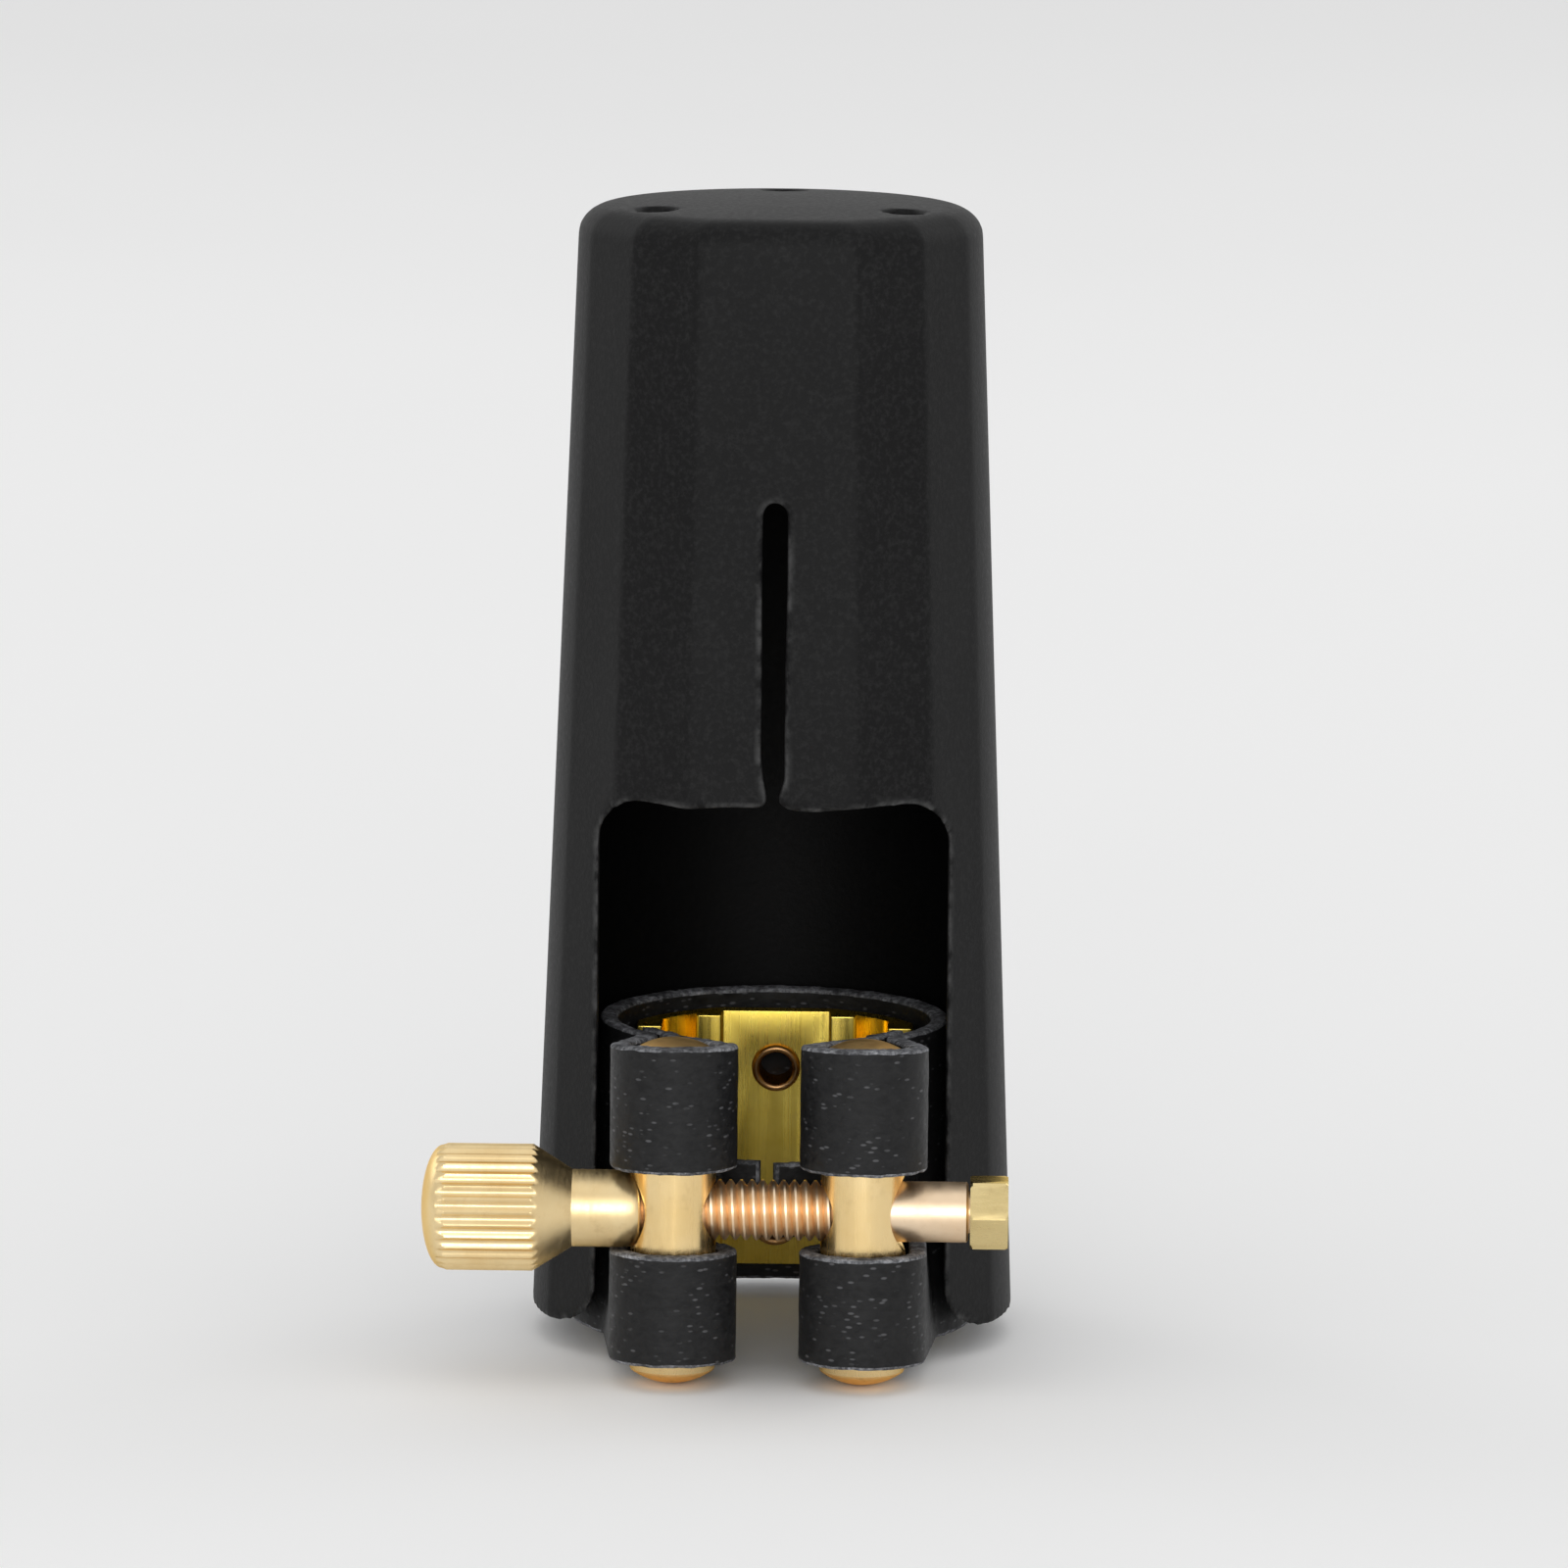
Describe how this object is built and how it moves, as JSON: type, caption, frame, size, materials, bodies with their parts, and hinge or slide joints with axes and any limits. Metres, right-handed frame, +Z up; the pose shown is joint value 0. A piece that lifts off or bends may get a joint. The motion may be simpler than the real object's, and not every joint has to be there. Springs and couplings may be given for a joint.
{
  "type": "saxophone ligature with cap",
  "caption": "Leather saxophone ligature with brass reed plate, posts and thumb-nut stud, inside a slotted plastic mouthpiece cap.",
  "frame": {"origin": "bottom centre of the whole object's box, on the surface it stands on", "axes": "+Z up along the mouthpiece axis towards the cap's closed top, +Y away from the screw, towards the reed plate, +X from the thumb nut to the collar"},
  "size_m": [0.039, 0.0378, 0.0766],
  "materials": {
    "cap_plastic": "fine moulded grain",
    "leather": "pebbled grain, raw cut edges",
    "plate_brass": "bright, drawn",
    "eyelet_bronze": "antique bronze",
    "post_brass": "satin, turned",
    "stud_brass": "satin, cut thread",
    "collar_brass": "polished",
    "nut_brass": "satin, knurled"
  },
  "bodies": {
    "band": {"leather_band": "leather", "reed_plate": "plate_brass", "upper_eyelet": "eyelet_bronze", "lower_eyelet": "eyelet_bronze"},
    "cap": {"cap_shell": "cap_plastic"},
    "left_carriage": {"left_post": "post_brass", "left_lower_loop": "leather", "left_upper_loop": "leather"},
    "right_carriage": {"right_post": "post_brass", "stud": "stud_brass", "stud_collar": "collar_brass", "right_lower_loop": "leather", "right_upper_loop": "leather"},
    "nut": {"thumb_nut": "nut_brass"}
  },
  "joints": [
    {"name": "cap_lift", "type": "slide", "parent": "band", "child": "cap", "axis": [0, 0, 1], "range_m": [0, 0.085]},
    {"name": "left_post_close", "type": "slide", "parent": "band", "child": "left_carriage", "axis": [1, 0, 0], "range_m": [-0.00052, 0.0014]},
    {"name": "right_post_close", "type": "slide", "parent": "band", "child": "right_carriage", "axis": [-1, 0, 0], "range_m": [-0.00052, 0.0014]},
    {"name": "nut_turn", "type": "hinge", "parent": "left_carriage", "child": "nut", "pos_m": [-0.01217, -0.0147, 0.0116], "axis": [1, 0, 0], "range_deg": [-540.1, 1440.1]}
  ],
  "couplings": [
    {"joint": "left_post_close", "follows": "right_post_close", "ratio": 1},
    {"joint": "nut_turn", "follows": "right_post_close", "rad_per_m": 17952}
  ]
}
